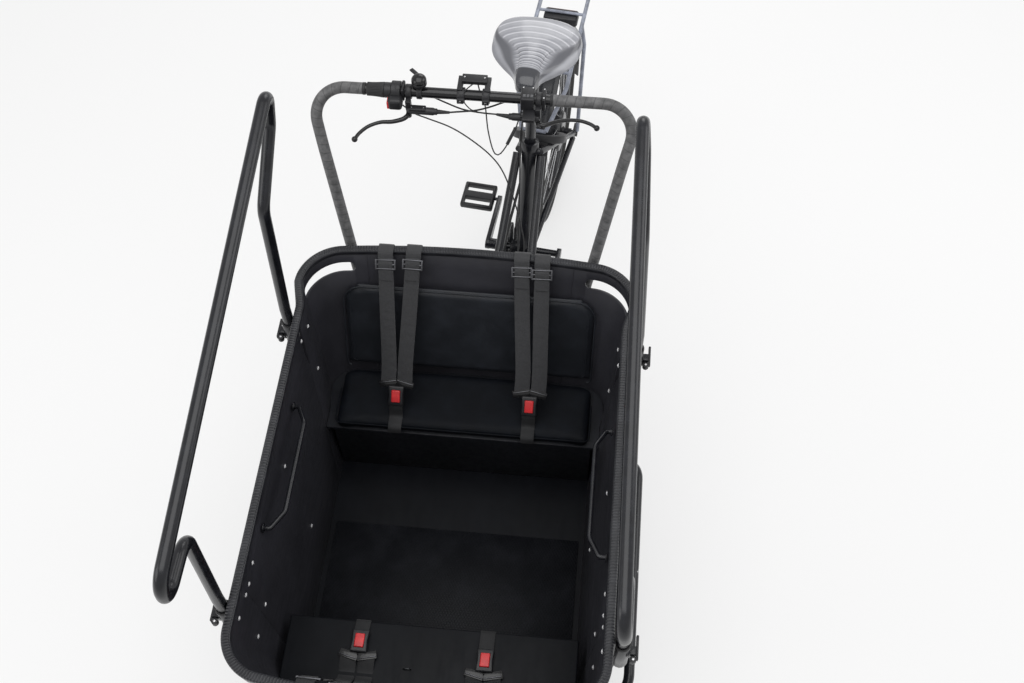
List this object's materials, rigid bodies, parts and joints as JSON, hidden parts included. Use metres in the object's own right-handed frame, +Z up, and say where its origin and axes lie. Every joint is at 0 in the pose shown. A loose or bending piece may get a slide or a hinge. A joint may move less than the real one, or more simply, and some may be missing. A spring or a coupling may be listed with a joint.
{
  "type": "electric cargo trike",
  "caption": "Electric cargo tricycle with an open seat box on two front wheels, rain-cover hoops, child seats with harnesses, and a steered rear frame with saddle, battery, pedals and rack.",
  "frame": {"origin": "bottom centre of the bounding box, on the ground midway between the front wheels' sides", "axes": "+Z up from the ground, -Y the way the trike drives, +X the rider's left"},
  "size_m": [0.9538, 2.2523, 1.377],
  "materials": {
    "black_paint": "satin powder coat",
    "black_board": "smooth dark film over plywood",
    "black_rubber": "matte",
    "tyre_rubber": "matte",
    "black_cushion": "soft grained artificial leather",
    "web_black": "woven webbing",
    "button_red": "smooth",
    "black_plastic": "fine grain",
    "bar_tape": "wrapped grip tape",
    "saddle_grey": "glossy grained cover",
    "lamp_red": "smooth lens"
  },
  "bodies": {
    "box_half": {"rim_trim": "black_rubber", "rim_frame": "black_paint", "side_panel_left": "black_board", "side_panel_right": "black_board", "rear_panel": "black_board", "front_panel": "black_board", "corner_panel_left": "black_board", "corner_panel_right": "black_board", "floor_panel": "black_board", "floor_mat": "black_rubber", "rear_seat_bench": "black_board", "seat_cushion": "black_cushion", "back_cushion": "black_cushion", "front_bench": "black_board", "grab_rail_left": "black_paint", "grab_rail_right": "black_paint", "harness_rear_left": "web_black", "harness_rear_right": "web_black", "harness_front_left": "web_black", "harness_front_right": "web_black", "handlebar": "bar_tape", "display_bracket": "black_plastic", "brake_perch_left": "black_plastic", "brake_perch_right": "black_plastic", "bell": "black_paint", "control_cables": "black_rubber", "under_frame": "black_paint", "wheel_guard_left": "black_paint", "wheel_guard_right": "black_paint"},
    "rear_half": {"rear_frame": "black_paint", "drive_belt": "black_rubber", "mudguard": "black_paint", "luggage_rack": "black_paint", "rear_lamp": "lamp_red", "ring_lock": "black_plastic"},
    "front_left_wheel_set": {"front_left_wheel": "black_paint", "front_left_tyre": "tyre_rubber"},
    "front_right_wheel_set": {"front_right_wheel": "black_paint", "front_right_tyre": "tyre_rubber"},
    "rear_wheel_set": {"rear_wheel": "black_paint", "rear_tyre": "tyre_rubber"},
    "crank": {"crankset": "black_paint"},
    "left_pedal": {"pedal_left": "black_plastic"},
    "right_pedal": {"pedal_right": "black_plastic"},
    "seat": {"seat_post": "black_paint", "saddle": "saddle_grey"},
    "battery_pack": {"battery": "black_plastic"},
    "shifter": {"twist_shifter": "black_rubber"},
    "left_brake": {"brake_lever_left": "black_paint"},
    "right_brake": {"brake_lever_right": "black_paint"},
    "left_hoop": {"rain_hoop_left": "black_paint"},
    "right_hoop": {"rain_hoop_right": "black_paint"},
    "clamp_front_left": {"quick_release_front_left": "black_plastic"},
    "clamp_front_right": {"quick_release_front_right": "black_plastic"},
    "clamp_rear_left": {"quick_release_rear_left": "black_plastic"},
    "clamp_rear_right": {"quick_release_rear_right": "black_plastic"},
    "button_rear_left": {"buckle_button_rear_left": "button_red"},
    "button_rear_right": {"buckle_button_rear_right": "button_red"},
    "button_front_left": {"buckle_button_front_left": "button_red"},
    "button_front_right": {"buckle_button_front_right": "button_red"}
  },
  "joints": [
    {"name": "steering", "type": "hinge", "parent": "box_half", "child": "rear_half", "pos_m": [0, -0.54, 0.122], "axis": [0, 0, 1], "range_deg": [-28.8, 41.2]},
    {"name": "front_left_roll", "type": "hinge", "parent": "box_half", "child": "front_left_wheel_set", "pos_m": [0.405, -0.61, 0.25], "axis": [1, 0, 0], "continuous": true},
    {"name": "front_right_roll", "type": "hinge", "parent": "box_half", "child": "front_right_wheel_set", "pos_m": [-0.405, -0.61, 0.25], "axis": [1, 0, 0], "continuous": true},
    {"name": "rear_roll", "type": "hinge", "parent": "rear_half", "child": "rear_wheel_set", "pos_m": [0.1458, 0.8021, 0.3], "axis": [0.9942, -0.108, 0], "continuous": true},
    {"name": "crank_turn", "type": "hinge", "parent": "rear_half", "child": "crank", "pos_m": [0.09612, 0.34479, 0.29], "axis": [0.9942, -0.108, 0], "continuous": true},
    {"name": "left_pedal_spin", "type": "hinge", "parent": "crank", "child": "left_pedal", "pos_m": [0.2473, 0.1624, 0.29], "axis": [0.9942, -0.108, 0], "continuous": true},
    {"name": "right_pedal_spin", "type": "hinge", "parent": "crank", "child": "right_pedal", "pos_m": [-0.05507, 0.52719, 0.29], "axis": [0.9942, -0.108, 0], "continuous": true},
    {"name": "seat_height", "type": "slide", "parent": "rear_half", "child": "seat", "axis": [0.0289, 0.2661, 0.9635], "range_m": [-0.1, 0.05]},
    {"name": "battery_slide", "type": "slide", "parent": "rear_half", "child": "battery_pack", "axis": [0.0779, 0.7168, 0.6929], "range_m": [0, 0.05]},
    {"name": "shifter_twist", "type": "hinge", "parent": "box_half", "child": "shifter", "pos_m": [-0.2185, 0.178, 1.1], "axis": [1, 0, 0], "range_deg": [-90, 45]},
    {"name": "left_brake_pull", "type": "hinge", "parent": "box_half", "child": "left_brake", "pos_m": [0.15, 0.15, 1.0532], "axis": [0, 0, 1], "range_deg": [0, 12], "stiffness_Nm_per_rad": 0.8, "springref_deg": -5.73},
    {"name": "right_brake_pull", "type": "hinge", "parent": "box_half", "child": "right_brake", "pos_m": [-0.15, 0.15, 1.0532], "axis": [0, 0, 1], "range_deg": [-22, 0], "stiffness_Nm_per_rad": 0.8, "springref_deg": 5.73},
    {"name": "left_hoop_lift", "type": "slide", "parent": "box_half", "child": "left_hoop", "axis": [0, 0, 1], "range_m": [0, 0.08]},
    {"name": "right_hoop_lift", "type": "slide", "parent": "box_half", "child": "right_hoop", "axis": [0, 0, 1], "range_m": [0, 0.08]},
    {"name": "clamp_front_left_open", "type": "hinge", "parent": "box_half", "child": "clamp_front_left", "pos_m": [0.4465, -0.9568, 0.65], "axis": [0, 0, 1], "range_deg": [-120, 0]},
    {"name": "clamp_front_right_open", "type": "hinge", "parent": "box_half", "child": "clamp_front_right", "pos_m": [-0.4465, -0.9568, 0.65], "axis": [0, 0, 1], "range_deg": [0, 120]},
    {"name": "clamp_rear_left_open", "type": "hinge", "parent": "box_half", "child": "clamp_rear_left", "pos_m": [0.4465, -0.2388, 0.65], "axis": [0, 0, 1], "range_deg": [-120, 0]},
    {"name": "clamp_rear_right_open", "type": "hinge", "parent": "box_half", "child": "clamp_rear_right", "pos_m": [-0.4465, -0.2388, 0.65], "axis": [0, 0, 1], "range_deg": [0, 120]},
    {"name": "button_rear_left_push", "type": "slide", "parent": "box_half", "child": "button_rear_left", "axis": [0, 0.7317, -0.6817], "range_m": [0, 0.003], "stiffness_N_per_m": 600, "springref_m": -0.001},
    {"name": "button_rear_right_push", "type": "slide", "parent": "box_half", "child": "button_rear_right", "axis": [0, 0.7317, -0.6817], "range_m": [0, 0.003], "stiffness_N_per_m": 600, "springref_m": -0.001},
    {"name": "button_front_left_push", "type": "slide", "parent": "box_half", "child": "button_front_left", "axis": [0, 0, -1], "range_m": [0, 0.003], "stiffness_N_per_m": 600, "springref_m": -0.001},
    {"name": "button_front_right_push", "type": "slide", "parent": "box_half", "child": "button_front_right", "axis": [0, 0, -1], "range_m": [0, 0.003], "stiffness_N_per_m": 600, "springref_m": -0.001}
  ]
}
